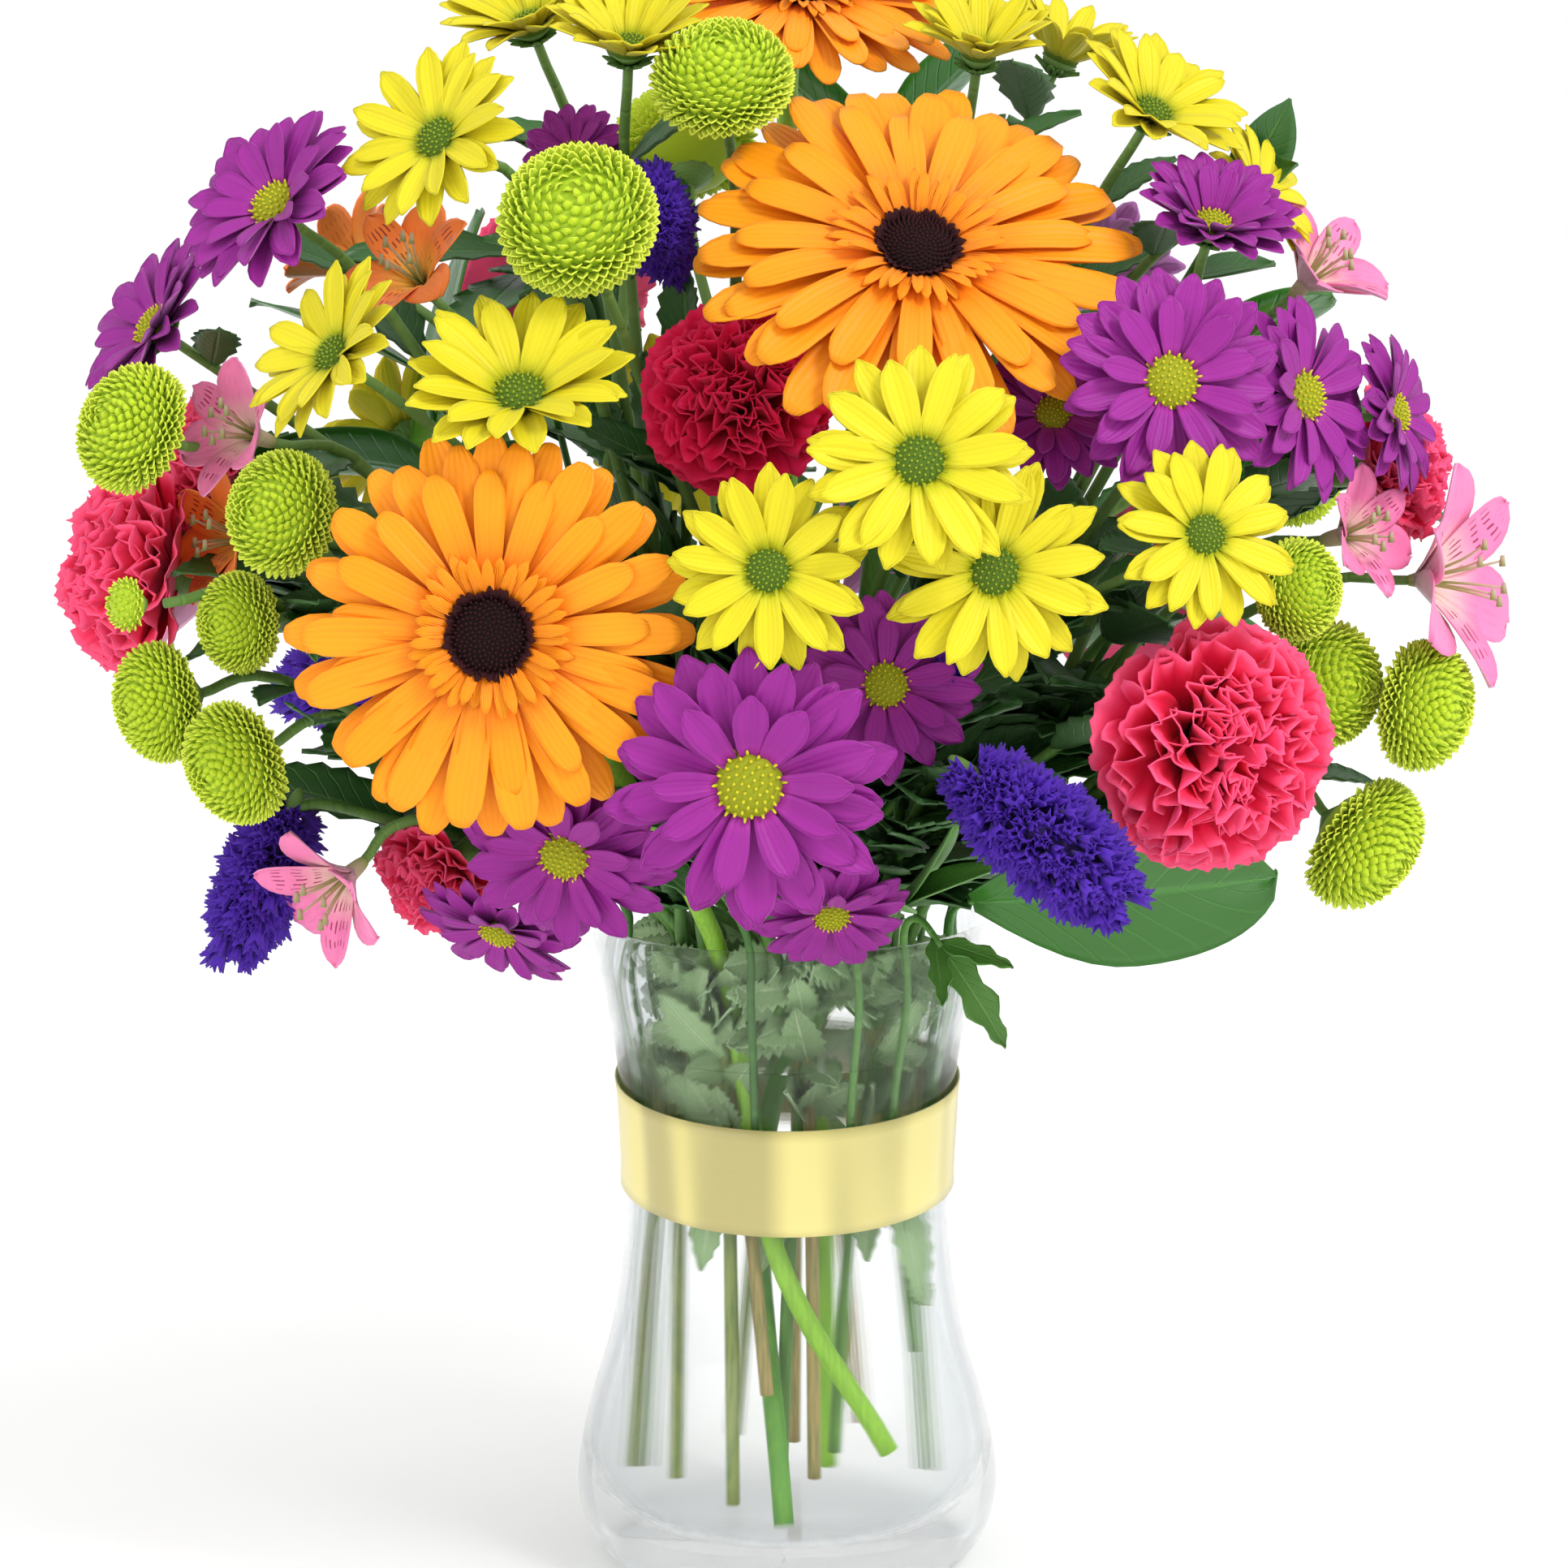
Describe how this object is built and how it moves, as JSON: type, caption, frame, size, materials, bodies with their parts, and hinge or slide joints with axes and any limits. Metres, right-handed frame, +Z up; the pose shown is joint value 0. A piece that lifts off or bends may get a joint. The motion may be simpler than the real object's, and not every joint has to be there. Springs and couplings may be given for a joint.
{
  "type": "flower arrangement in vase",
  "caption": "Domed mixed bouquet of gerbera daisies, chrysanthemums, carnations and foliage standing in water in a flared clear glass vase with a satin ribbon round the waist",
  "frame": {"origin": "centre of the vase's foot, on the surface that it stands on", "axes": "+Z up along the vase's axis, -Y towards the bouquet's front, +X to the right seen from the front"},
  "size_m": [0.4156, 0.3492, 0.4942],
  "materials": {
    "glass": "gloss",
    "water": "gloss",
    "satin": "satin",
    "gerbera_petal": "satin",
    "gerbera_eye": "matte",
    "yellow_petal": "satin",
    "purple_petal": "satin",
    "lime_petal": "matte",
    "carnation_petal": "matte",
    "statice_floret": "matte",
    "pink_petal": "satin",
    "orange_petal": "satin",
    "stem": "satin",
    "leaf": "satin"
  },
  "bodies": {
    "root": {"alstroemeria_back": "pink_petal", "alstroemeria_left": "pink_petal", "alstroemeria_orange": "orange_petal", "alstroemeria_right": "pink_petal", "button_back": "lime_petal", "button_left": "lime_petal", "button_right": "lime_petal", "button_top": "lime_petal", "carnation_back_left": "carnation_petal", "carnation_back_right": "carnation_petal", "carnation_far_left": "carnation_petal", "carnation_far_right": "carnation_petal", "carnation_left": "carnation_petal", "carnation_low": "carnation_petal", "carnation_middle": "carnation_petal", "carnation_right": "carnation_petal", "gerbera_left_eye": "gerbera_eye", "gerbera_left_petals": "gerbera_petal", "gerbera_left_stem": "stem", "gerbera_right_eye": "gerbera_eye", "gerbera_right_petals": "gerbera_petal", "gerbera_right_stem": "stem", "gerbera_top_eye": "gerbera_eye", "gerbera_top_petals": "gerbera_petal", "gerbera_top_stem": "stem", "leaves_back": "leaf", "leaves_crown": "leaf", "leaves_front": "leaf", "leaves_left": "leaf", "leaves_right": "leaf", "leaves_side_left": "leaf", "leaves_side_right": "leaf", "leaves_top": "leaf", "lobed_right": "leaf", "purple_back": "purple_petal", "purple_front": "purple_petal", "purple_left": "purple_petal", "purple_right": "purple_petal", "ribbon": "satin", "ruscus_right": "leaf", "salal_right": "leaf", "statice_back": "statice_floret", "statice_left": "statice_floret", "statice_middle": "statice_floret", "statice_right": "statice_floret", "statice_top": "statice_floret", "stems_back": "stem", "stems_front": "stem", "stems_front_left": "stem", "stems_left": "stem", "stems_right": "stem", "strap_front": "leaf", "vase": "glass", "water": "water", "yellow_back": "yellow_petal", "yellow_front": "yellow_petal", "yellow_left": "yellow_petal", "yellow_right": "yellow_petal"}
  },
  "joints": []
}
